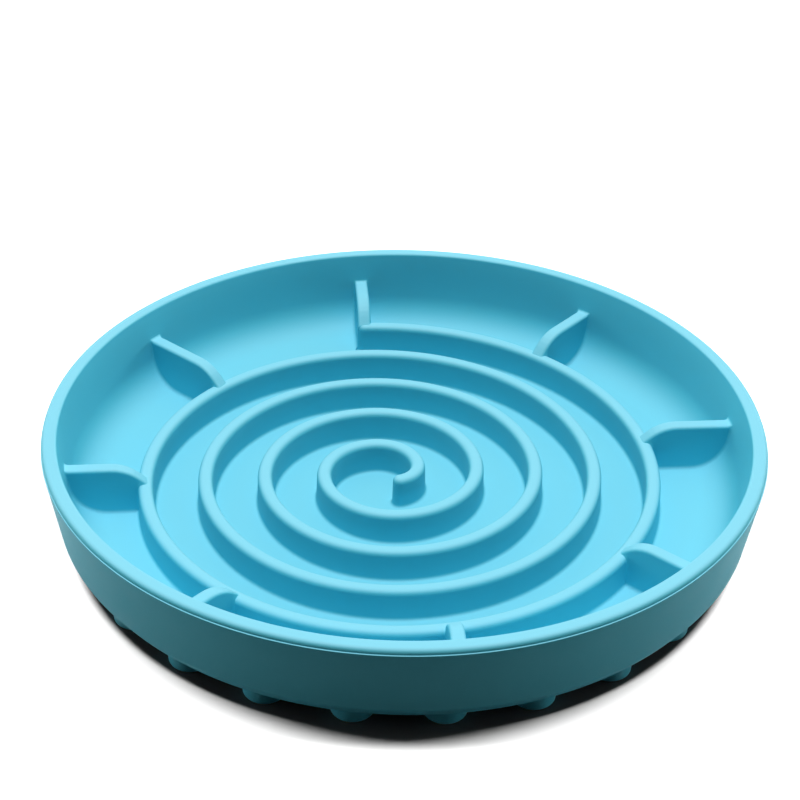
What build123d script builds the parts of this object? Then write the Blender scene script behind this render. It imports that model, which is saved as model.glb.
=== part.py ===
"""Slow feeder bowl in moulded silicone.

A low round tray with a coved wall, a spiral ridge that winds out from a hooked tip,
eight divider ribs between the ridge and the wall, and a ring of suction feet below.
Millimetres, +Z up, origin on the table under the middle of the bowl.
"""
import os
from math import atan2, cos, degrees, radians, sin, sqrt, tan

from build123d import *

# Bowl: wall, rim and floor
rim_radius = 105.0          # outer wall at the mould's parting line
wall_inset = 3.5            # parting line in to the wall's lower edge
overall_height = 31.0       # table to rim
wall_clearance = 8.5        # table to the wall's lower edge
rim_width = 4.2             # width of the rim seen from above
floor_thickness = 2.5
cove_radius = 11.0          # inside, between floor and wall
rim_edge_radius = 1.3       # outer edge of the rim
rim_lip_radius = 0.8        # inner edge of the rim
base_inset = 2.6            # wall's lower edge in to the edge of the flat base below it
heel_edge_radius = 0.8      # lower edges of the wall and of the base
parting_drop = 1.6          # rim down to the parting line
parting_step = 0.3          # ledge at the parting line
seam_margin = 0.6           # flat left on the wall piece inside the cove

# Spiral ridge
pocket_length = 14.7        # end of the ridge out to the foot of the wall, on +Y
ridge_width = 4.2           # across the ridge's top
ridge_drop = 14.4           # rim down to the ridge's top
ridge_draft = 1.5           # degrees, each side
ridge_edge_radius = 1.6     # top edges
ridge_flare = 0.8           # foot of the ridge on the floor
spiral_start_radius = 9.75  # pole to ridge on +X, first turn
pole_x = -5.9               # pole of the spiral, from the middle of the bowl
pole_y = -3.45
spiral_turns = 4
hook_angle = 80.0           # degrees of arc inside the first turn

# Divider ribs
rib_count = 8
rib_width = 4.2
rib_drop = 9.2              # rim down to the rib's level top
rib_skew = 4.0              # degrees that a rib turns about its outer end, off the bowl's radius
rib_ramp_angle = 37.0       # degrees, slope of the ramp down to the ridge
rib_bend_radius = 8.0       # between the level top and the ramp
rib_landing_drop = 0.4      # ridge top down to the ramp's end, inside the ridge
rib_edge_radius = 1.0       # top edges
facing_share = 0.5          # part of a direction from which a face or edge counts as facing it

# Suction feet
foot_count = 24
foot_height = 4.8
foot_root_radius = 6.4      # where the foot meets the base
foot_lip_radius = 5.9       # outline of the foot near the table
foot_edge_radius = 1.0      # lower outer edge
foot_ring_margin = 0.5      # base's edge to the feet
foot_ring_turn = -1.7       # degrees between a foot and the rib on +X
dish_radius = 4.2           # hollow that holds the vacuum
dish_depth = 2.2

# Levels, radii and the spiral's growth, which follow from the sizes above
quarter = 90.0
full_turn = 360.0
base_z = foot_height
floor_z = base_z + floor_thickness
heel_z = wall_clearance
rim_z = overall_height
parting_z = rim_z - parting_drop
ridge_z = rim_z - ridge_drop
rib_z = rim_z - rib_drop
heel_radius = rim_radius - wall_inset
base_radius = heel_radius - base_inset
wall_slope = wall_inset / (parting_z - heel_z)
rim_outer_radius = rim_radius - parting_step
rim_inner_radius = rim_outer_radius - rim_width
cove_corner_radius = rim_inner_radius - wall_slope * (rim_z - floor_z)
cove_reach = cove_radius * tan(radians(quarter) / 2 - atan2(wall_slope, 1) / 2)
floor_radius = cove_corner_radius - cove_reach - seam_margin
spiral_reach = cove_corner_radius - pocket_length - ridge_width / 2
quarter_count = 4 * spiral_turns + 1
centre_step = (spiral_reach - pole_y - spiral_start_radius) / quarter_count
rib_end_radius = rim_inner_radius - wall_slope * rib_drop
rib_offset = rib_end_radius * sin(radians(rib_skew))
foot_ring_radius = base_radius - foot_ring_margin - foot_root_radius


def rounded(face, corners):
    """Round the named corners of a flat face: a list of (point, radius)."""
    for point, radius in corners:
        corner = face.vertices().sort_by_distance(point)[0]
        face = fillet(corner, radius)
    return face


def outline(points):
    """A flat face inside straight lines between the points."""
    return make_face(Polyline(*points, close=True))


def outer_wall():
    """Drafted wall with rim, parting ledge, inside cove and base flank, turned about +Z."""
    base = (base_radius, base_z)
    heel = (heel_radius, heel_z)
    brow = (rim_outer_radius, rim_z)
    lip = (rim_inner_radius, rim_z)
    cove = (cove_corner_radius, floor_z)
    section = outline([
        (floor_radius, base_z),
        base,
        heel,
        (rim_radius, parting_z),
        (rim_outer_radius, parting_z),
        brow,
        lip,
        cove,
        (floor_radius, floor_z),
    ])
    section = rounded(section, [
        (base, heel_edge_radius),
        (heel, heel_edge_radius),
        (brow, rim_edge_radius),
        (lip, rim_lip_radius),
        (cove, cove_radius),
    ])
    return revolve(Plane.XZ * section, axis=Axis.Z)


def bowl_floor():
    """Flat round floor inside the wall's cove."""
    disc = Circle(floor_radius)
    return extrude(Pos(0, 0, base_z) * disc, floor_thickness)


def ridge_quarters():
    """Quarter arcs of the spiral, from the hook outwards: (centre, radius, first angle, arc).

    The spiral is a four-centre volute: each quarter's radius grows by one step, and its
    centre steps back by as much along the line where the quarters meet.
    """
    half = centre_step / 2
    centres = [
        Vector(pole_x - half, pole_y + half),
        Vector(pole_x - half, pole_y - half),
        Vector(pole_x + half, pole_y - half),
        Vector(pole_x + half, pole_y + half),
    ]
    first_radius = spiral_start_radius + half
    quarters = [(centres[-1], first_radius - centre_step, -hook_angle, hook_angle)]
    for index in range(quarter_count):
        radius = first_radius + index * centre_step
        quarters.append((centres[index % 4], radius, index * quarter, quarter))
    return quarters


def ridge_section(half_only=False):
    """Section of the ridge about its centre line: drafted sides, round top, flared foot."""
    height = ridge_z - floor_z
    top = ridge_width / 2
    foot = top + height * tan(radians(ridge_draft))
    edge = (top, height)
    bend = (foot, ridge_flare)
    right = [(foot + ridge_flare, 0), bend, edge]
    if half_only:
        section = outline([(0, 0), *right, (0, height)])
        return rounded(section, [(edge, ridge_edge_radius), (bend, ridge_flare)])
    other_edge = (-top, height)
    other_bend = (-foot, ridge_flare)
    left = [other_edge, other_bend, (-foot - ridge_flare, 0)]
    return rounded(outline([*right, *left]), [
        (edge, ridge_edge_radius),
        (other_edge, ridge_edge_radius),
        (bend, ridge_flare),
        (other_bend, ridge_flare),
    ])


def section_plane(origin, angle):
    """Upright plane on the floor through a vertical axis, with X along the given angle."""
    out = Vector(cos(radians(angle)), sin(radians(angle)))
    return Plane(
        origin=(origin.X, origin.Y, floor_z),
        x_dir=(out.X, out.Y, 0),
        z_dir=(out.Y, -out.X, 0),
    )


def upright(point, direction=1):
    """Vertical axis through a point of the plan."""
    return Axis((point.X, point.Y, 0), (0, 0, direction))


def ridge_arc(centre, radius, angle, arc):
    """One quarter of the ridge: the section turned about the quarter's centre."""
    section = section_plane(centre, angle) * (Pos(radius, 0) * ridge_section())
    return revolve(section, axis=upright(centre), revolution_arc=arc)


def ridge_tip(centre, radius, angle):
    """Round end of the hook: half the section turned half a circle about the ridge's end."""
    out = Vector(cos(radians(angle)), sin(radians(angle)))
    end = centre + out * radius
    section = section_plane(end, angle) * ridge_section(half_only=True)
    return revolve(section, axis=upright(end, -1), revolution_arc=full_turn / 2)


def spiral_ridge_turns():
    """The ridge as one solid a turn; the last runs on a quarter to the rib on +Y."""
    quarters = ridge_quarters()
    turns = []
    for turn in range(spiral_turns):
        first = 1 + 4 * turn
        solid = ridge_arc(*quarters[first])
        for item in quarters[first + 1:first + 4]:
            solid += ridge_arc(*item)
        turns.append(solid)
    turns[0] = turns[0] + ridge_arc(*quarters[0]) + ridge_tip(*quarters[0][:3])
    run_out = ridge_arc(*quarters[-1])
    beyond = Box(
        2 * rim_radius, 2 * rim_radius, 2 * rim_z, align=(Align.CENTER, Align.MIN, Align.CENTER)
    )
    beyond_rib = rib_place(quarter) * Pos(0, rib_width / 2, 0) * beyond
    turns[-1] = turns[-1] + (run_out - beyond_rib)
    return turns


def rib_place(angle):
    """Frame of a rib whose outer end is on an angle: X along the rib, Y to its left."""
    return Rot(0, 0, angle - rib_skew) * Pos(0, rib_offset, 0)


def ridge_reach(angle):
    """How far along a rib's X the outermost ridge lies."""
    heading = radians(angle - rib_skew)
    out = Vector(cos(heading), sin(heading))
    left = Vector(-sin(heading), cos(heading))
    for centre, radius, first, arc in reversed(ridge_quarters()):
        reach = out.dot(centre) + sqrt(radius ** 2 - (left.dot(centre) - rib_offset) ** 2)
        spot = out * reach + left * rib_offset - centre
        ahead = (degrees(atan2(spot.Y, spot.X)) - first) % full_turn
        if ahead <= arc:
            return reach
    raise ValueError("no ridge lies on this rib's line")


def divider_rib(angle, neighbours):
    """Upright rib from the wall to the ridge: level top, then a ramp that runs out on the ridge.

    Its ends follow the wall's cove and the ridge's side, which cut it to length.
    """
    slope = tan(radians(rib_ramp_angle))
    landing_z = ridge_z - rib_landing_drop
    flat_end = ridge_reach(angle) - ridge_width / 2 + ridge_edge_radius
    inner = flat_end - rib_landing_drop / slope
    knee = (inner + (rib_z - landing_z) / slope, rib_z)
    profile = outline([
        (inner, floor_z),
        (rib_end_radius, floor_z),
        (rib_end_radius, rib_z),
        knee,
        (inner, landing_z),
    ])
    profile = rounded(profile, [(knee, rib_bend_radius)])
    blank = extrude(Plane.XZ * profile, rib_width / 2, both=True)
    tops = [face for face in blank.faces() if face.normal_at().Z > facing_share]
    top_edges = [edge for face in tops for edge in face.edges()]
    sides = [edge for edge in top_edges if abs(edge.tangent_at(0).Y) < facing_share]
    blank = rib_place(angle) * fillet(sides, rib_edge_radius)
    for solid in neighbours:
        blank -= solid
    return blank


def suction_foot(angle):
    """Round foot under the base, tapered, with a rounded lower edge and a hollow dish."""
    edge = (foot_lip_radius, 0)
    section = make_face([
        Line((0, dish_depth), (0, base_z)),
        Line((0, base_z), (foot_root_radius, base_z)),
        Line((foot_root_radius, base_z), edge),
        Line(edge, (dish_radius, 0)),
        TangentArc((0, dish_depth), (dish_radius, 0), tangent=(1, 0)),
    ])
    section = rounded(section, [(edge, foot_edge_radius)])
    foot = revolve(Plane.XZ * section, axis=Axis.Z)
    return Rot(0, 0, angle) * Pos(foot_ring_radius, 0, 0) * foot


def build():
    """Every piece by its node name."""
    wall = outer_wall()
    turns = spiral_ridge_turns()
    pieces = {"outer_wall": wall, "bowl_floor": bowl_floor()}
    for number, turn in enumerate(turns, 1):
        pieces[f"spiral_ridge_turn_{number}"] = turn
    for index in range(rib_count):
        angle = index * full_turn / rib_count
        pieces[f"divider_rib_{index + 1}"] = divider_rib(angle, [wall, *turns[-2:]])
    for index in range(foot_count):
        angle = foot_ring_turn + index * full_turn / foot_count
        pieces[f"suction_foot_{index + 1:02d}"] = suction_foot(angle)
    return pieces


os.makedirs("parts", exist_ok=True)
for name, piece in build().items():
    export_step(piece, f"parts/{name}.step")
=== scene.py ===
"""Slow feeder bowl in moulded silicone: its skins, finish, stage and camera. Metres, +Z up."""
from math import cos, hypot, pi, radians, sin, tan

import bmesh
import bpy
import numpy as np
from bpy.props import FloatProperty, FloatVectorProperty, PointerProperty
from bpy.types import Operator, Panel, PropertyGroup
from mathutils import Matrix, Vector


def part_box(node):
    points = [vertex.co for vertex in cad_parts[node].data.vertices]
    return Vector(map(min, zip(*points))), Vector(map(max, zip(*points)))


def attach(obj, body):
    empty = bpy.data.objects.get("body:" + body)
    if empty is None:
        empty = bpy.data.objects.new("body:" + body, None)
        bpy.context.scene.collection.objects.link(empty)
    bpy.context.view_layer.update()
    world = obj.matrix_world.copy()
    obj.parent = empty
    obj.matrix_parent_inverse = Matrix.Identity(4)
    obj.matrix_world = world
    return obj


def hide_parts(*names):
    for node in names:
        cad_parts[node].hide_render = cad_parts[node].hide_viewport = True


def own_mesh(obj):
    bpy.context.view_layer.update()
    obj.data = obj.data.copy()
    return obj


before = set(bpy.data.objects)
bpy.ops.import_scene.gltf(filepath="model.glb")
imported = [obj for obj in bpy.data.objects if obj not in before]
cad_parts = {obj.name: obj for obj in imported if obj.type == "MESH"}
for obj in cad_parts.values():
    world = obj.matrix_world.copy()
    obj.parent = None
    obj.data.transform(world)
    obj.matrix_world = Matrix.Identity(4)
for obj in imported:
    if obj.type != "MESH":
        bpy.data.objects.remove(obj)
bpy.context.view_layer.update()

bl_info = {
    "name": "Slow feeder bowl",
    "version": (1, 0, 0),
    "blender": (4, 5, 0),
    "location": "View3D > Sidebar > Feeder bowl",
    "description": "Moulded silicone bowl with a spiral ridge, divider ribs and suction feet",
    "category": "Object",
}

MM = 0.001

# Nodes of the frame, by kind
RIBS = sorted(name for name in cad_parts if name.startswith("divider_rib_"))
FEET = sorted(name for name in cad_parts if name.startswith("suction_foot_"))
TURNS = sorted(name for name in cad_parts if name.startswith("spiral_ridge_turn_"))

# Levels and radii that the frame gives
RIM_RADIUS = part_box("outer_wall")[1].x
BASE_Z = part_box("outer_wall")[0].z
RIM_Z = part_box("outer_wall")[1].z
FLOOR_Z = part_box("bowl_floor")[1].z
RIDGE_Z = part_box(TURNS[0])[1].z
RIB_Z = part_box(RIBS[0])[1].z
FOOT_ROOT_RADIUS = (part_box(FEET[0])[1].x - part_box(FEET[0])[0].x) / 2

# Fineness of the meshes
RING_STEPS = 384
FOOT_STEPS = 48
DISH_STEPS = 12
CAP_STEPS = 24
EDGE_STEPS = 8
FACE_STEPS = 7
CROWN_STEPS = 48
CROWN_CROWDING = 1.6
SEARCH_STEPS = 4001
ARC_STEP = radians(9)
PATH_STEP = radians(2.5)
RUN_STEP = 6 * MM
RIDGE_RUN_STEP = 1.5 * MM
RAMP_RUN_STEP = 0.5 * MM
CROWN_RUN_STEP = 1 * MM
FOOT_RUN_STEP = 2 * MM
LEVEL_RUN = 0.5 * MM
SINK = 0.2 * MM
WELD = 0.0002 * MM
CREASE = radians(40)

# Painted highlight, a paler colour for the light that falls on faces that look up: rise of a face's normal
# where it starts and is full, and what is left at the floor
HIGHLIGHT_START = 0.35
HIGHLIGHT_FULL = 0.95
FLOOR_HIGHLIGHT = 0.6

# Patterns in the silicone's skin, and how it meets light
SWIRL_WIDTH = 30 * MM
WIPE_WIDTH = 9 * MM
WIPE_DEPTH = 0.05
GRIT_WIDTH = 0.5 * MM
GRIT_DEPTH = 0.03 * MM
GRIT_STRENGTH = 0.25
SILICONE_IOR = 1.41
SILICONE_SHINE = 0.15

# Stage: the floor's size, and the edges of the tent's parts as sines of the angle to them
FLOOR_REACH = 4
FLOOR_STEPS = 9
SIDE_FULL, SIDE_END = 0.05, 0.3
FRONT_START, FRONT_FULL = -0.1, 0.38


def length(name, description, default):
    """A property that holds a length."""
    return FloatProperty(
        name=name, description=description, default=default, min=0, unit="LENGTH", precision=5
    )


def place(name, description, default):
    """A property that holds a place along an axis."""
    return FloatProperty(name=name, description=description, default=default, unit="LENGTH", precision=5)


def angle(name, description, default):
    """A property that holds an angle, given in degrees."""
    return FloatProperty(
        name=name, description=description, default=radians(default), subtype="ANGLE"
    )


def share(name, description, default):
    """A property that holds a share of one."""
    return FloatProperty(
        name=name, description=description, default=default, min=0, max=1, subtype="FACTOR"
    )


def level(name, description, default):
    """A property that holds a level of light, where one is white."""
    return FloatProperty(name=name, description=description, default=default, min=0)


def linear(hex_colour):
    """Linear red, green and blue of an sRGB hex value."""
    srgb = np.array([int(hex_colour[i:i + 2], 16) for i in (1, 3, 5)]) / 255
    return np.where(srgb <= 0.04045, srgb / 12.92, ((srgb + 0.055) / 1.055) ** 2.4).tolist()


def colour(name, description, default):
    """A property that holds a colour, given as an sRGB hex value."""
    return FloatVectorProperty(
        name=name, description=description, default=linear(default), min=0, max=1, subtype="COLOR"
    )


class ShellSizes(PropertyGroup):
    """Sizes of the wall, the rim and the floor."""

    wall_inset: length("Wall inset", "Parting line in to the wall's lower edge", 3.5 * MM)
    clearance: length("Clearance", "Table to the wall's lower edge", 8.5 * MM)
    base_inset: length("Base inset", "Wall's lower edge in to the edge of the flat base", 2.6 * MM)
    rim_width: length("Rim width", "Width of the rim seen from above", 4.2 * MM)
    cove_radius: length("Cove", "Inside radius between floor and wall", 11 * MM)
    rim_edge: length("Rim edge", "Radius of the rim's outer edge", 1.3 * MM)
    rim_lip: length("Rim lip", "Radius of the rim's inner edge", 0.8 * MM)
    base_edge: length("Base edge", "Radius of the lower edges of wall and base", 0.8 * MM)
    parting_drop: length("Parting drop", "Rim down to the parting line", 1.6 * MM)
    parting_step: length("Parting step", "Width of the ledge at the parting line", 0.3 * MM)
    parting_edge: length("Parting edge", "Radius of the ledge's edges", 0.15 * MM)


class RidgeSizes(PropertyGroup):
    """Sizes of the spiral ridge."""

    width: length("Width", "Across the ridge's top", 4.2 * MM)
    edge: length("Edge", "Radius of the top edges", 1.6 * MM)
    flare: length("Flare", "Radius of the fillet at the foot", 1.0 * MM)
    draft: angle("Draft", "Lean of each side", 1.5)
    start_radius: length("Start radius", "Pole to ridge on +X, first turn", 9.75 * MM)
    pole_x: place("Pole X", "Pole of the spiral, from the middle of the bowl", -5.9 * MM)
    pole_y: place("Pole Y", "Pole of the spiral, from the middle of the bowl", -3.45 * MM)
    pocket_length: length("Pocket", "End of the ridge out to the foot of the wall, on +Y", 14.7 * MM)
    hook: angle("Hook", "Arc inside the first turn", 80)


class RibSizes(PropertyGroup):
    """Sizes of the divider ribs."""

    width: length("Width", "Across the rib", 4.2 * MM)
    edge: length("Edge", "Radius of the top edges", 1.0 * MM)
    flare: length("Flare", "Radius of the fillets at the floor and the wall", 1.0 * MM)
    ear: length("Ear", "Radius of the fillets at the ridge's side", 0.9 * MM)
    skew: angle("Skew", "Turn about the rib's outer end, off the bowl's radius", 4)
    ramp: angle("Ramp", "Slope down to the ridge", 42)
    bend: length("Bend", "Radius between the level top and the ramp", 12 * MM)


class FootSizes(PropertyGroup):
    """Sizes of the suction feet."""

    lip_radius: length("Lip radius", "Outline of the foot near the table", 5.9 * MM)
    edge: length("Edge", "Radius of the lower outer edge", 1.0 * MM)
    root_fillet: length("Root fillet", "Fillet where the foot meets the base", 0.3 * MM)
    dish_radius: length("Dish radius", "Hollow that holds the vacuum", 4.2 * MM)
    dish_depth: length("Dish depth", "Depth of the hollow", 2.2 * MM)


class SiliconeLooks(PropertyGroup):
    """Colours and sheen of the silicone."""

    body: colour("Body", "Colour of the sides and the hollows", "#60D0E4")
    deep: colour("Deep", "Darker drift in the body colour", "#59C9DE")
    # Paler colour painted on the tops as a highlight, for the light that falls on them
    painted_highlight: colour("Highlight", "Paler colour of the tops", "#8BDDF2")
    satin: share("Satin", "Roughness of the moulded skin", 0.52)
    polish: share("Polish", "Roughness of the suction feet", 0.34)


class StageLooks(PropertyGroup):
    """Light levels and the camera."""

    sky: level("Sky", "Light from the tent over and behind the bowl", 0.4)
    side_sky: level("Side", "More light from low at the tent's left and right", 5.8)
    front_sky: level("Front", "Light from the tent's open front", 0.04)
    key: level("Key", "Light of the lamp overhead on a level face", 0.78)
    key_lean: angle("Key lean", "Lean of the lamp behind the bowl", 1)
    key_spread: angle("Key spread", "Width of the lamp seen from the bowl", 14)
    floor_glow: level("Floor", "How the floor answers the light in the picture", 0.1)
    floor_lamp: level("Floor lamp", "Light of each of the floor's two lamps, square to it", 11.6)
    lamp_side: angle("Lamp side", "Lean of the floor's lamps to the left and the right", 22)
    lamp_lean: angle("Lamp lean", "Lean of the floor's lamps behind the bowl", 5.5)
    lamp_spread: angle("Lamp spread", "Width of the floor's lamps seen from the bowl", 16)
    floor_bounce: share("Bounce", "Share of light that the floor throws back at the bowl", 0.0017)
    azimuth: angle("Azimuth", "Turn of the camera about the bowl", -9.1823)
    elevation: angle("Elevation", "Height of the camera over the rim's plane", 33.1291)
    distance: length("Distance", "Camera to the middle of the rim's plane", 570.95 * MM)
    pitch: angle("Pitch", "Dip of the view axis", 32.5925)
    yaw: angle("Yaw", "Turn of the view axis off the bowl's middle", -0.1892)
    roll: angle("Roll", "Turn of the picture about the view axis", 1.1337)
    lens: FloatProperty(name="Lens", description="Focal length, millimetres", default=88.159)


class BowlSettings(PropertyGroup):
    """All that a user would change."""

    shell: PointerProperty(type=ShellSizes)
    ridge: PointerProperty(type=RidgeSizes)
    rib: PointerProperty(type=RibSizes)
    foot: PointerProperty(type=FootSizes)
    silicone: PointerProperty(type=SiliconeLooks)
    stage: PointerProperty(type=StageLooks)


# Profiles

def split_runs(points, longest):
    """Points added at even steps on each straight run longer than the given length."""
    pieces = []
    for first, second in zip(points[:-1], points[1:]):
        steps = max(1, int(np.ceil(np.hypot(*(second - first)) / longest)))
        pieces.append(first + (second - first) * np.linspace(0, 1, steps, endpoint=False)[:, None])
    return np.vstack([*pieces, points[-1:]])


def rounded_path(corners, longest=RUN_STEP):
    """Points along straight runs whose corners are rounded: corners are (across, up, radius).

    Each arc lies between the two tangent points, at radius / tan(half the corner) from it, and
    its points turn evenly about the centre on the corner's bisector.
    """
    spots = np.array([corner[:2] for corner in corners])
    points = [spots[:1]]
    for before, spot, after, radius in zip(spots, spots[1:], spots[2:], [c[2] for c in corners[1:]]):
        if radius == 0:
            points.append(spot[None])
            continue
        back = (before - spot) / np.hypot(*(before - spot))
        ahead = (after - spot) / np.hypot(*(after - spot))
        half = np.arccos(np.clip(back @ ahead, -1, 1)) / 2
        centre = spot + (back + ahead) / np.hypot(*(back + ahead)) * radius / sin(half)
        start = spot + back * radius / tan(half) - centre
        stop = spot + ahead * radius / tan(half) - centre
        sweep = pi - 2 * half
        turn = np.linspace(0, 1, max(3, int(np.ceil(sweep / ARC_STEP)) + 1))[:, None]
        arc = np.sin((1 - turn) * sweep) * start + np.sin(turn * sweep) * stop
        points.append(centre + arc / sin(sweep))
    return split_runs(np.vstack([*points, spots[-1:]]), longest)


def fillet_gain(distance, radius):
    """How far a fillet stands out at a distance from the face it runs into: a quarter circle."""
    inside = np.clip(distance, 0, radius)
    return radius - np.sqrt(radius ** 2 - (radius - inside) ** 2)


# Meshes

def grid_faces(rows, columns, around=False, start=0):
    """Quads between the points of a grid, closed around its columns if asked."""
    index = start + np.arange(rows * columns).reshape(rows, columns)
    if around:
        index = np.hstack([index, index[:, :1]])
    return np.stack([index[:-1, :-1], index[:-1, 1:], index[1:, 1:], index[1:, :-1]], -1).reshape(-1, 4)


def weld(points, quads):
    """Points that share a place made one, and the faces left: quads, and triangles at the poles."""
    _, first, index = np.unique(
        np.round(points / WELD).astype(np.int64), axis=0, return_index=True, return_inverse=True
    )
    quads = index.reshape(-1)[quads]
    doubled = quads == np.roll(quads, -1, axis=1)
    count = doubled.sum(1)
    triangles = quads[count == 1][~doubled[count == 1]].reshape(-1, 3)
    return points[first], quads[count == 0].tolist() + triangles.tolist()


def add_piece(name, points, quads, material, body, nodes):
    """A closed smooth mesh that rides on a body and stands for CAD nodes.

    The attribute for the painted highlight is one on tops that stand clear, less on the floor, and
    nought on upright faces: a paler colour painted where light falls from above. It is a smooth
    step of the normal's rise, times the share of the ridge's height.
    """
    vertices, faces = weld(points, quads)
    mesh = bpy.data.meshes.new(name)
    mesh.from_pydata(vertices, [], faces)
    work = bmesh.new()
    work.from_mesh(mesh)
    bmesh.ops.recalc_face_normals(work, faces=work.faces)
    work.to_mesh(mesh)
    work.free()
    mesh.shade_smooth()
    mesh.set_sharp_from_angle(angle=CREASE)
    normals = np.empty(3 * len(mesh.vertices), np.float32)
    mesh.vertices.foreach_get("normal", normals)
    places = np.empty(3 * len(mesh.vertices), np.float32)
    mesh.vertices.foreach_get("co", places)
    # Painted highlight: a paler colour on faces that look up, strongest on the tops, for the light from
    # above
    rise = np.clip((normals[2::3] - HIGHLIGHT_START) / (HIGHLIGHT_FULL - HIGHLIGHT_START), 0, 1)
    stand = np.clip((places[2::3] - FLOOR_Z) / (RIDGE_Z - FLOOR_Z), FLOOR_HIGHLIGHT, 1)
    painted_highlight = mesh.attributes.new("painted_highlight", "FLOAT", "POINT")
    painted_highlight.data.foreach_set("value", rise * rise * (3 - 2 * rise) * stand)
    mesh.materials.append(material)
    piece = bpy.data.objects.new(name, mesh)
    bpy.context.collection.objects.link(piece)
    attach(piece, body)
    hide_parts(*nodes)
    return piece


def turned(profile, steps, middle=(0, 0)):
    """A profile of (radius, height) turned about an upright axis: points and quads.

    Points are middle + radius * (cos, sin) of the turn, at the profile's height.
    """
    turn = np.linspace(0, 2 * pi, steps, endpoint=False)
    radius, height = profile[:, :1], profile[:, 1:]
    x = middle[0] + radius * np.cos(turn)
    y = middle[1] + radius * np.sin(turn)
    z = height + 0 * turn
    return np.stack([x, y, z], -1).reshape(-1, 3), grid_faces(len(profile), steps, around=True)


# The bowl's shapes

def wall_lines(shell):
    """Radii that the wall's slope gives: heel, rim outside, rim inside, cove corner, and the slope."""
    parting_z = RIM_Z - shell.parting_drop
    slope = shell.wall_inset / (parting_z - shell.clearance)
    rim_outer = RIM_RADIUS - shell.parting_step
    rim_inner = rim_outer - shell.rim_width
    return RIM_RADIUS - shell.wall_inset, rim_outer, rim_inner, rim_inner - slope * (RIM_Z - FLOOR_Z), slope


def inside_profile(shell, top):
    """Inside of the bowl from the floor's middle, along the cove and up the wall to a height."""
    *_, rim_inner, cove_corner, slope = wall_lines(shell)
    return rounded_path([
        (0, FLOOR_Z, 0),
        (cove_corner, FLOOR_Z, shell.cove_radius),
        (rim_inner - slope * (RIM_Z - top), top, 0),
    ])


def shell_profile(shell):
    """Section of wall and floor: base, drafted wall, parting ledge, rim, cove and floor."""
    heel, rim_outer, rim_inner, cove_corner, _ = wall_lines(shell)
    parting_z = RIM_Z - shell.parting_drop
    return rounded_path([
        (0, BASE_Z, 0),
        (heel - shell.base_inset, BASE_Z, shell.base_edge),
        (heel, shell.clearance, shell.base_edge),
        (RIM_RADIUS, parting_z, shell.parting_edge),
        (rim_outer, parting_z, shell.parting_edge),
        (rim_outer, RIM_Z, shell.rim_edge),
        (rim_inner, RIM_Z, shell.rim_lip),
        (cove_corner, FLOOR_Z, shell.cove_radius),
        (0, FLOOR_Z, 0),
    ])


def spiral_step(settings):
    """Growth of the spiral's radius in a quarter turn, which leaves the pocket at the wall."""
    ridge = settings.ridge
    cove_corner = wall_lines(settings.shell)[3]
    reach = cove_corner - ridge.pocket_length - ridge.width / 2
    return (reach - ridge.pole_y - ridge.start_radius) / (4 * len(TURNS) + 1)


def spiral_line(settings, turn):
    """Centre line of the ridge at an array of turns: places and outward directions in the plan.

    A four-centre volute: in each quarter the line is an arc about one of four centres that
    stand around the pole, and its radius is one step larger than in the quarter before.
    """
    ridge = settings.ridge
    step = spiral_step(settings)
    quarter = np.floor(turn / (pi / 2)).astype(int)
    across = np.array([-1, -1, 1, 1])[quarter % 4]
    along = np.array([1, -1, -1, 1])[quarter % 4]
    centre = np.stack([ridge.pole_x + across * step / 2, ridge.pole_y + along * step / 2], -1)
    radius = ridge.start_radius + step / 2 + quarter * step
    out = np.stack([np.cos(turn), np.sin(turn)], -1)
    return centre + radius[:, None] * out, out


def rib_offset(settings):
    """How far a rib's line passes beside the bowl's middle."""
    *_, rim_inner, _, slope = wall_lines(settings.shell)
    return (rim_inner - slope * (RIM_Z - RIB_Z)) * sin(settings.rib.skew)


def from_rib(settings, heading, places):
    """Places in the plan seen from a rib's line: along it, and to its left."""
    way = heading - settings.rib.skew
    return places @ (cos(way), sin(way)), places @ (-sin(way), cos(way)) - rib_offset(settings)


def spiral_turns(settings):
    """Turns of the ridge's line, from the hook's tip to the rib on +Y, where its round end is flush."""
    ridge = settings.ridge
    last = len(TURNS) * 2 * pi + pi / 2
    turn = np.linspace(last - pi / 4, last, SEARCH_STEPS, endpoint=False)
    left = from_rib(settings, pi / 2, spiral_line(settings, turn)[0])[1]
    end = np.interp((settings.rib.width - ridge.width) / 2, left, turn)
    return np.linspace(-ridge.hook, end, int((end + ridge.hook) / PATH_STEP))


def ridge_section(ridge):
    """Half the ridge's section, from its top's middle down to the middle of its sunk underside."""
    height = RIDGE_Z - FLOOR_Z
    top = ridge.width / 2
    foot = top + height * tan(ridge.draft)
    toe = foot + ridge.flare * tan((pi / 2 - ridge.draft) / 2)
    return rounded_path([
        (0, height, 0),
        (top, height, ridge.edge),
        (foot, 0, ridge.flare),
        (toe, 0, 0),
        (toe + SINK, -SINK, 0),
        (0, -SINK, 0),
    ], longest=RIDGE_RUN_STEP)


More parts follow.
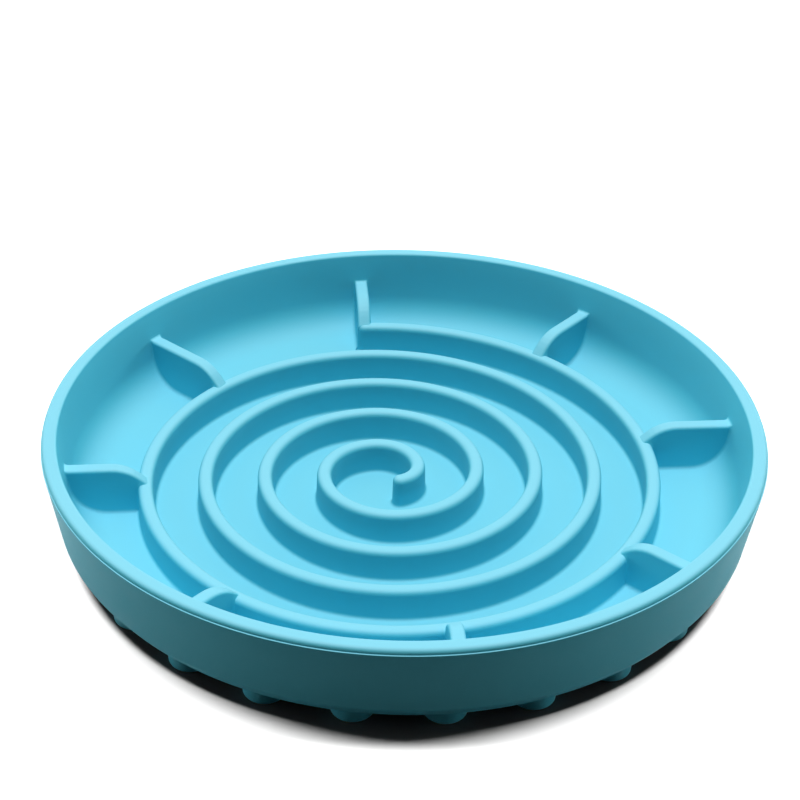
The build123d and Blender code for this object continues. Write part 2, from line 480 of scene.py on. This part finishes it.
def spiral_ridge(settings):
    """The section carried along the spiral's line, with each end turned half a circle.

    A point is the line's place + across * outward direction, at the section's height. At an
    end the direction turns from outward, over the way the line leaves, to inward.
    """
    section = ridge_section(settings.ridge)
    turn = spiral_turns(settings)
    places, out = spiral_line(settings, turn)
    loop = np.vstack([section, section[-2:0:-1] * (-1, 1)])
    plan = places[:, None] + out[:, None] * loop[None, :, :1]
    height = np.broadcast_to(FLOOR_Z + loop[:, 1:], (*plan.shape[:2], 1))
    points = [np.concatenate([plan, height], -1).reshape(-1, 3)]
    quads = [grid_faces(len(turn), len(loop), around=True)]
    swing = np.linspace(0, pi, CAP_STEPS + 1)[:, None]
    for end, way in ((0, -1), (-1, 1)):
        leave = way * np.array([-out[end][1], out[end][0]])
        fan = np.cos(swing) * out[end] + np.sin(swing) * leave
        plan = places[end] + fan[:, None] * section[None, :, :1]
        height = np.broadcast_to(FLOOR_Z + section[:, 1:], (*plan.shape[:2], 1))
        quads.append(grid_faces(CAP_STEPS + 1, len(section), start=sum(map(len, points))))
        points.append(np.concatenate([plan, height], -1).reshape(-1, 3))
    return np.vstack(points), np.vstack(quads)


def ridge_reach(settings, heading):
    """Distance from the bowl's middle out to where a rib's line crosses the outermost ridge."""
    along, left = from_rib(settings, heading, spiral_line(settings, spiral_turns(settings))[0])
    cross = np.nonzero((left[:-1] * left[1:] <= 0) & (along[:-1] > 0))[0]
    part = left[cross] / (left[cross] - left[cross + 1])
    reach = np.max(along[cross] + part * (along[cross + 1] - along[cross]), initial=along[-1])
    return hypot(reach, rib_offset(settings))


def along_line(points, parts):
    """Points at the given shares of a line's length."""
    steps = np.hypot(*np.diff(points, axis=0).T)
    travel = np.concatenate([[0], np.cumsum(steps)]) / steps.sum()
    return np.stack([np.interp(parts, travel, points[:, axis]) for axis in (0, 1)], -1)


def rib_lines(settings, reach):
    """Foot and top of a rib, point for point: (radius from the bowl's middle, height) each.

    The top climbs from the ridge's top in a ramp, bends to level, and ends in a fillet that
    climbs the wall. The foot follows the floor, the cove and the wall. Past the bend both lines
    run to where they meet on the wall.
    """
    rib, ridge = settings.rib, settings.ridge
    landing = reach - ridge.width / 2 + ridge.edge
    knee = landing + (RIB_Z - RIDGE_Z) / tan(rib.ramp)
    level_start = knee + rib.bend * tan(rib.ramp / 2) + LEVEL_RUN
    ramp = rounded_path([
        (landing - SINK / tan(rib.ramp), RIDGE_Z - SINK, 0),
        (knee, RIB_Z, rib.bend),
        (level_start, RIB_Z, 0),
    ], longest=RAMP_RUN_STEP)
    inside = inside_profile(settings.shell, RIB_Z + rib.flare)
    ramp_foot = np.stack([ramp[:, 0], np.interp(ramp[:, 0], *inside.T)], -1)
    top_end = inside[-1]
    slope = wall_lines(settings.shell)[4]
    crown = rounded_path([
        (level_start, RIB_Z, 0),
        (top_end[0] - slope * rib.flare, RIB_Z, rib.flare * (1 - slope)),
        (*top_end, 0),
    ], longest=CROWN_RUN_STEP)
    outer = np.vstack([ramp_foot[-1:], inside[inside[:, 0] > level_start]])
    parts = 1 - (1 - np.linspace(0, 1, CROWN_STEPS + 1)[1:]) ** CROWN_CROWDING
    foot = np.vstack([ramp_foot, along_line(outer, parts)])
    top = np.vstack([ramp, along_line(crown, parts)])
    return foot, top


def rib_sides(settings, heading, reach, foot, top):
    """Places up a rib from its foot line to its top line, and its half widths left and right.

    A half width is half the rib's width + the larger gain of the fillets at the foot and at the
    ridge - the round edge's loss near the top. Where the rib is lower than foot fillet and edge
    together, the edge's radius shrinks with its height. The ridge ends at the left of the rib on
    +Y, which has no fillet there.
    """
    rib, ridge = settings.rib, settings.ridge
    height = np.hypot(*(top - foot).T)[:, None]
    swing = 1 - np.cos(np.linspace(0, pi / 2, EDGE_STEPS + 1))
    low = np.minimum(rib.flare, height * rib.flare / (rib.flare + rib.edge))
    high = np.minimum(rib.edge, height * rib.edge / (rib.flare + rib.edge))
    middle = low + (height - low - high) * np.linspace(0, 1, FACE_STEPS + 1)[1:-1]
    up = np.hstack([low * swing, middle, height - high * swing[::-1]])
    part = up / np.maximum(height, WELD)
    spot = foot[:, None] + (top - foot)[:, None] * part[..., None]
    gain = fillet_gain(up, rib.flare)
    ear = fillet_gain(spot[..., 0] - reach - ridge.width / 2, rib.ear)
    ear = ear * np.clip((RIDGE_Z - spot[..., 1]) / ridge.edge, 0, 1)
    half = rib.width / 2 - fillet_gain(height - up, high)
    right = half + np.maximum(gain, ear)
    left = half + gain if abs(heading - pi / 2) < PATH_STEP else right
    return spot, left, right


def divider_rib(settings, heading):
    """A rib between its foot and top lines, sunk a little into the floor and the wall.

    At each step along the rib a loop of points runs up its left side, over the top and down its
    right side, and a fan closes each end. A point at radius r and side s of the rib's line is at
    sqrt(r squared - (offset + s) squared) along it.
    """
    reach = ridge_reach(settings, heading)
    foot, top = rib_lines(settings, reach)
    spot, left, right = rib_sides(settings, heading, reach, foot, top)
    lean = (foot[:, :1] - foot[0, 0]) / (foot[-1, 0] - foot[0, 0])
    sunk = foot + SINK * ((1 - lean) * (0, -1) + lean * (1, 0))
    nought = np.zeros((len(foot), 1))
    side = np.hstack([nought, left[:, :1], left, nought, -right[:, ::-1], -right[:, :1]])
    plane = np.concatenate([sunk[:, None], sunk[:, None], spot, top[:, None]], 1)
    plane = np.concatenate([plane, plane[:, -2:0:-1]], 1)
    middles = plane.mean(1, keepdims=True).repeat(plane.shape[1], 1)
    plane = np.concatenate([middles[:1], plane, middles[-1:]])
    side = np.vstack([0 * side[:1], side, 0 * side[:1]])
    left_of_middle = rib_offset(settings) + side
    along = np.sqrt(plane[..., 0] ** 2 - left_of_middle ** 2)
    way = heading - settings.rib.skew
    x = along * cos(way) - left_of_middle * sin(way)
    y = along * sin(way) + left_of_middle * cos(way)
    points = np.stack([x, y, plane[..., 1]], -1).reshape(-1, 3)
    return points, grid_faces(*side.shape, around=True)


def foot_profile(foot):
    """Section of a foot: dish, lip, rounded edge, tapered side and a fillet into the base."""
    dish = (foot.dish_radius ** 2 + foot.dish_depth ** 2) / (2 * foot.dish_depth)
    swing = np.linspace(0, np.arcsin(foot.dish_radius / dish), DISH_STEPS + 1)
    hollow = np.stack([dish * np.sin(swing), foot.dish_depth - dish * (1 - np.cos(swing))], -1)
    rim = rounded_path([
        (foot.dish_radius, 0, 0),
        (foot.lip_radius, 0, foot.edge),
        (FOOT_ROOT_RADIUS, BASE_Z, foot.root_fillet),
        (FOOT_ROOT_RADIUS + foot.root_fillet, BASE_Z, 0),
        (FOOT_ROOT_RADIUS + foot.root_fillet + SINK, BASE_Z + SINK, 0),
        (0, BASE_Z + SINK, 0),
    ], longest=FOOT_RUN_STEP)
    return np.vstack([hollow, rim[1:]])


# Finishes

def add_node(tree, kind, settings=None, **links):
    """A node of a kind, with its settings, and its inputs set to values or linked to sockets."""
    node = tree.nodes.new(kind)
    for name, value in (settings or {}).items():
        setattr(node, name, value)
    for name, value in links.items():
        socket = node.inputs[int(name[1:]) if name[1:].isdigit() else name.replace("_", " ")]
        if isinstance(value, bpy.types.NodeSocket):
            tree.links.new(value, socket)
        else:
            socket.default_value = value
    return node


def new_material(name):
    """A material with an empty node tree, and its tree."""
    material = bpy.data.materials.new(name)
    material.use_nodes = True
    material.node_tree.nodes.clear()
    return material, material.node_tree


def silicone(looks, name, roughness):
    """Silicone rubber, pressed in a spark-eroded steel mould.

    The eye gets a satin skin with no clear reflection, a colour that drifts very slightly where
    the pigment swirled, and a paler colour painted on the faces that look up: a painted highlight
    for the light that falls on the tops. A lower roughness gives the sheen of a polished mould.
    The mould's grit is about 0.1 mm, too fine for the picture, so it is drawn about 0.5 mm wide.
    """
    material, tree = new_material(name)
    where = add_node(tree, "ShaderNodeTexCoord").outputs["Object"]
    swirl = add_node(tree, "ShaderNodeTexNoise", Vector=where, Scale=1 / SWIRL_WIDTH, Detail=3.0)
    drift = add_node(
        tree, "ShaderNodeMix", {"data_type": "RGBA"},
        i0=swirl.outputs["Fac"], i6=(*looks.deep, 1), i7=(*looks.body, 1),
    )
    # Painted highlight: the paler top colour mixed over the body colour where the attribute marks faces
    # that look up
    painted_highlight = add_node(tree, "ShaderNodeAttribute", {"attribute_name": "painted_highlight"})
    skin = add_node(
        tree, "ShaderNodeMix", {"data_type": "RGBA"},
        i0=painted_highlight.outputs["Fac"], i6=drift.outputs[2], i7=(*looks.painted_highlight, 1),
    )
    wiped = add_node(tree, "ShaderNodeTexNoise", Vector=where, Scale=1 / WIPE_WIDTH, Detail=2.0)
    sheen = add_node(
        tree, "ShaderNodeMapRange",
        Value=wiped.outputs["Fac"], To_Min=roughness - WIPE_DEPTH, To_Max=roughness + WIPE_DEPTH,
    )
    grit = add_node(tree, "ShaderNodeTexNoise", Vector=where, Scale=1 / GRIT_WIDTH, Detail=2.0)
    bump = add_node(
        tree, "ShaderNodeBump",
        Height=grit.outputs["Fac"], Strength=GRIT_STRENGTH, Distance=GRIT_DEPTH,
    )
    surface = add_node(
        tree, "ShaderNodeBsdfPrincipled",
        Base_Color=skin.outputs[2], Roughness=sheen.outputs["Result"], Normal=bump.outputs["Normal"],
        IOR=SILICONE_IOR, Specular_IOR_Level=SILICONE_SHINE,
    )
    add_node(tree, "ShaderNodeOutputMaterial", Surface=surface.outputs["BSDF"])
    return material


def seen_straight(tree):
    """One for rays from the camera, and for those that shiny or clear things send on."""
    path = add_node(tree, "ShaderNodeLightPath")
    shiny = add_node(
        tree, "ShaderNodeMath", {"operation": "MAXIMUM"},
        i0=path.outputs["Is Glossy Ray"], i1=path.outputs["Is Transmission Ray"],
    )
    return add_node(
        tree, "ShaderNodeMath", {"operation": "MAXIMUM"},
        i0=path.outputs["Is Camera Ray"], i1=shiny.outputs[0],
    ).outputs[0]


def floor_paper(looks):
    """White paper floor: white in the picture under its lamps, where it keeps the shadow.

    It throws almost nothing of that strong light back at the bowl.
    """
    material, tree = new_material("white_paper_floor")
    shown = add_node(tree, "ShaderNodeBsdfDiffuse", Color=(*[looks.floor_glow] * 3, 1))
    felt = add_node(tree, "ShaderNodeBsdfDiffuse", Color=(*[looks.floor_bounce] * 3, 1))
    both = add_node(
        tree, "ShaderNodeMixShader",
        i0=seen_straight(tree), i1=felt.outputs[0], i2=shown.outputs[0],
    )
    add_node(tree, "ShaderNodeOutputMaterial", Surface=both.outputs[0])
    return material


def tent_light(world, looks):
    """A light tent: lit over and behind the bowl, brightest at its sides, open at the front.

    The light in a direction is sky + side * low * across to the fourth, where low falls from
    one at the floor to nought, and it fades to the front's. The camera sees the tent white.
    """
    world.use_nodes = True
    tree = world.node_tree
    tree.nodes.clear()
    way = add_node(tree, "ShaderNodeTexCoord").outputs["Generated"]
    front = (sin(looks.azimuth), -cos(looks.azimuth), 0)
    right = (cos(looks.azimuth), sin(looks.azimuth), 0)
    facing = add_node(tree, "ShaderNodeVectorMath", {"operation": "DOT_PRODUCT"}, i0=way, i1=front)
    across = add_node(tree, "ShaderNodeVectorMath", {"operation": "DOT_PRODUCT"}, i0=way, i1=right)
    square = add_node(
        tree, "ShaderNodeMath", {"operation": "MULTIPLY"},
        i0=across.outputs["Value"], i1=across.outputs["Value"],
    )
    fourth = add_node(
        tree, "ShaderNodeMath", {"operation": "MULTIPLY"}, i0=square.outputs[0], i1=square.outputs[0]
    )
    height = add_node(tree, "ShaderNodeSeparateXYZ", Vector=way)
    low = add_node(
        tree, "ShaderNodeMapRange", {"interpolation_type": "SMOOTHSTEP"},
        Value=height.outputs["Z"], From_Min=SIDE_FULL, From_Max=SIDE_END,
        To_Min=looks.side_sky, To_Max=0.0,
    )
    full = add_node(
        tree, "ShaderNodeMath", {"operation": "MULTIPLY_ADD"},
        i0=fourth.outputs[0], i1=low.outputs["Result"], i2=looks.sky,
    )
    strength = add_node(
        tree, "ShaderNodeMapRange", {"interpolation_type": "SMOOTHSTEP"},
        Value=facing.outputs["Value"], From_Min=FRONT_START, From_Max=FRONT_FULL,
        To_Min=full.outputs[0], To_Max=looks.front_sky,
    )
    light = add_node(tree, "ShaderNodeBackground", Strength=strength.outputs["Result"])
    seen = add_node(tree, "ShaderNodeBackground", Strength=1.0)
    for node in (light, seen):
        node.inputs["Color"].default_value = (1, 1, 1, 1)
    both = add_node(
        tree, "ShaderNodeMixShader",
        i0=seen_straight(tree), i1=light.outputs[0], i2=seen.outputs[0],
    )
    add_node(tree, "ShaderNodeOutputWorld", Surface=both.outputs[0])


# Operators

class FEEDER_OT_shell(Operator):
    """Wall, rim and floor, turned as one skin"""

    bl_idname = "feeder.shell"
    bl_label = "Wall and floor"

    def execute(self, context):
        settings = context.scene.feeder_bowl
        points, quads = turned(shell_profile(settings.shell), RING_STEPS)
        skin = bpy.data.materials["moulded_satin_silicone"]
        add_piece("wall_and_floor_skin", points, quads, skin, "bowl", ["outer_wall", "bowl_floor"])
        return {"FINISHED"}


class FEEDER_OT_spiral_ridge(Operator):
    """The spiral ridge as one unbroken skin"""

    bl_idname = "feeder.spiral_ridge"
    bl_label = "Spiral ridge"

    def execute(self, context):
        points, quads = spiral_ridge(context.scene.feeder_bowl)
        skin = bpy.data.materials["moulded_satin_silicone"]
        add_piece("spiral_ridge_skin", points, quads, skin, "bowl", TURNS)
        return {"FINISHED"}


class FEEDER_OT_divider_ribs(Operator):
    """Ribs between the ridge and the wall, at even headings"""

    bl_idname = "feeder.divider_ribs"
    bl_label = "Divider ribs"

    def execute(self, context):
        settings = context.scene.feeder_bowl
        skin = bpy.data.materials["moulded_satin_silicone"]
        for index, node in enumerate(RIBS):
            points, quads = divider_rib(settings, index * 2 * pi / len(RIBS))
            name = node.replace("rib_", "rib_skin_")
            add_piece(name, points, quads, skin, "bowl", [node])
        return {"FINISHED"}


class FEEDER_OT_suction_feet(Operator):
    """Suction feet, each with its own mesh, on the feet's body"""

    bl_idname = "feeder.suction_feet"
    bl_label = "Suction feet"

    def execute(self, context):
        profile = foot_profile(context.scene.feeder_bowl.foot)
        skin = bpy.data.materials["polished_silicone"]
        for node in FEET:
            low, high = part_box(node)
            middle = (low + high) / 2
            points, quads = turned(profile, FOOT_STEPS, middle)
            name = node.replace("foot_", "foot_skin_")
            foot = add_piece(name, points, quads, skin, "suction_feet", [node])
            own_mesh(foot)
        return {"FINISHED"}


class FEEDER_OT_finishes(Operator):
    """Silicone in its two finishes"""

    bl_idname = "feeder.finishes"
    bl_label = "Finishes"

    def execute(self, context):
        looks = context.scene.feeder_bowl.silicone
        silicone(looks, "moulded_satin_silicone", looks.satin)
        silicone(looks, "polished_silicone", looks.polish)
        return {"FINISHED"}


class FEEDER_OT_stage(Operator):
    """Floor, light and camera"""

    bl_idname = "feeder.stage"
    bl_label = "Stage"

    def execute(self, context):
        scene = context.scene
        looks = scene.feeder_bowl.stage
        scene.view_settings.view_transform = "Standard"
        self.add_floor_lamps(looks, self.add_floor(looks))
        scene.world = scene.world or bpy.data.worlds.new("light_tent")
        tent_light(scene.world, looks)
        self.add_key(looks)
        self.add_camera(scene, looks)
        return {"FINISHED"}

    def add_floor(self, looks):
        """A level square of paper under the feet."""
        reach = np.linspace(-FLOOR_REACH, FLOOR_REACH, FLOOR_STEPS)
        x, y = np.meshgrid(reach, reach)
        points = np.stack([x, y, 0 * x], -1).reshape(-1, 3)
        mesh = bpy.data.meshes.new("paper_floor")
        mesh.from_pydata(points, [], grid_faces(len(reach), len(reach)).tolist())
        mesh.materials.append(floor_paper(looks))
        paper = bpy.data.objects.new("paper_floor", mesh)
        bpy.context.collection.objects.link(paper)
        return paper

    def add_floor_lamps(self, looks, paper):
        """Lamps at the left and the right for the paper alone, shaded only where both are blocked."""
        lit = bpy.data.collections.new("lamp_lit_paper")
        lit.objects.link(paper)
        for side in (-1, 1):
            lamp = bpy.data.lights.new("floor_lamp", "SUN")
            lamp.energy = pi * looks.floor_lamp
            lamp.angle = looks.lamp_spread
            rig = bpy.data.objects.new(lamp.name, lamp)
            rig.rotation_euler = (-looks.lamp_lean, side * looks.lamp_side, looks.azimuth)
            rig.light_linking.receiver_collection = lit
            bpy.context.collection.objects.link(rig)

    def add_key(self, looks):
        """A soft lamp overhead that leans slightly behind the bowl."""
        lamp = bpy.data.lights.new("overhead_lamp", "SUN")
        lamp.energy = pi * looks.key
        lamp.angle = looks.key_spread
        rig = bpy.data.objects.new("overhead_lamp", lamp)
        rig.rotation_euler = (-looks.key_lean, 0, looks.azimuth)
        bpy.context.collection.objects.link(rig)

    def add_camera(self, scene, looks):
        """A camera at the photograph's angle: place on a sphere about the rim's middle, then its axes."""
        camera = bpy.data.cameras.new("camera")
        camera.lens = looks.lens
        out = np.array([
            sin(looks.azimuth) * cos(looks.elevation),
            -cos(looks.azimuth) * cos(looks.elevation),
            sin(looks.elevation),
        ])
        spot = looks.distance * out + (0, 0, RIM_Z)
        heading = looks.azimuth - looks.yaw
        right = np.array([cos(heading), sin(heading), 0])
        ahead = np.array([
            -sin(heading) * cos(looks.pitch),
            cos(heading) * cos(looks.pitch),
            -sin(looks.pitch),
        ])
        up = np.cross(right, ahead)
        x_axis = right * cos(looks.roll) + up * sin(looks.roll)
        y_axis = up * cos(looks.roll) - right * sin(looks.roll)
        axes = np.eye(4)
        axes[:3] = np.stack([x_axis, y_axis, -ahead, spot], -1)
        rig = bpy.data.objects.new("camera", camera)
        rig.matrix_world = Matrix(axes.tolist())
        bpy.context.collection.objects.link(rig)
        scene.camera = rig


class FEEDER_PT_panel(Panel):
    """Lists the bowl's pieces, and the sizes and colours behind them."""

    bl_label = "Slow feeder bowl"
    bl_idname = "FEEDER_PT_panel"
    bl_space_type = "VIEW_3D"
    bl_region_type = "UI"
    bl_category = "Feeder bowl"

    def draw(self, context):
        settings = context.scene.feeder_bowl
        for operator in OPERATORS:
            self.layout.operator(operator.bl_idname)
        for name in BowlSettings.__annotations__:
            group = getattr(settings, name)
            box = self.layout.box()
            for field in type(group).__annotations__:
                box.prop(group, field)


GROUPS = (ShellSizes, RidgeSizes, RibSizes, FootSizes, SiliconeLooks, StageLooks, BowlSettings)
OPERATORS = (
    FEEDER_OT_finishes,
    FEEDER_OT_shell,
    FEEDER_OT_spiral_ridge,
    FEEDER_OT_divider_ribs,
    FEEDER_OT_suction_feet,
    FEEDER_OT_stage,
)
CLASSES = (*GROUPS, *OPERATORS, FEEDER_PT_panel)


def register():
    """Makes the classes and the scene's settings known."""
    for item in CLASSES:
        bpy.utils.register_class(item)
    bpy.types.Scene.feeder_bowl = PointerProperty(type=BowlSettings)


def unregister():
    """Takes them away again."""
    del bpy.types.Scene.feeder_bowl
    for item in reversed(CLASSES):
        bpy.utils.unregister_class(item)


def main():
    """Builds the finishes, the pieces and the stage."""
    register()
    bpy.ops.feeder.finishes()
    bpy.ops.feeder.shell()
    bpy.ops.feeder.spiral_ridge()
    bpy.ops.feeder.divider_ribs()
    bpy.ops.feeder.suction_feet()
    bpy.ops.feeder.stage()


if __name__ == "__main__":
    main()
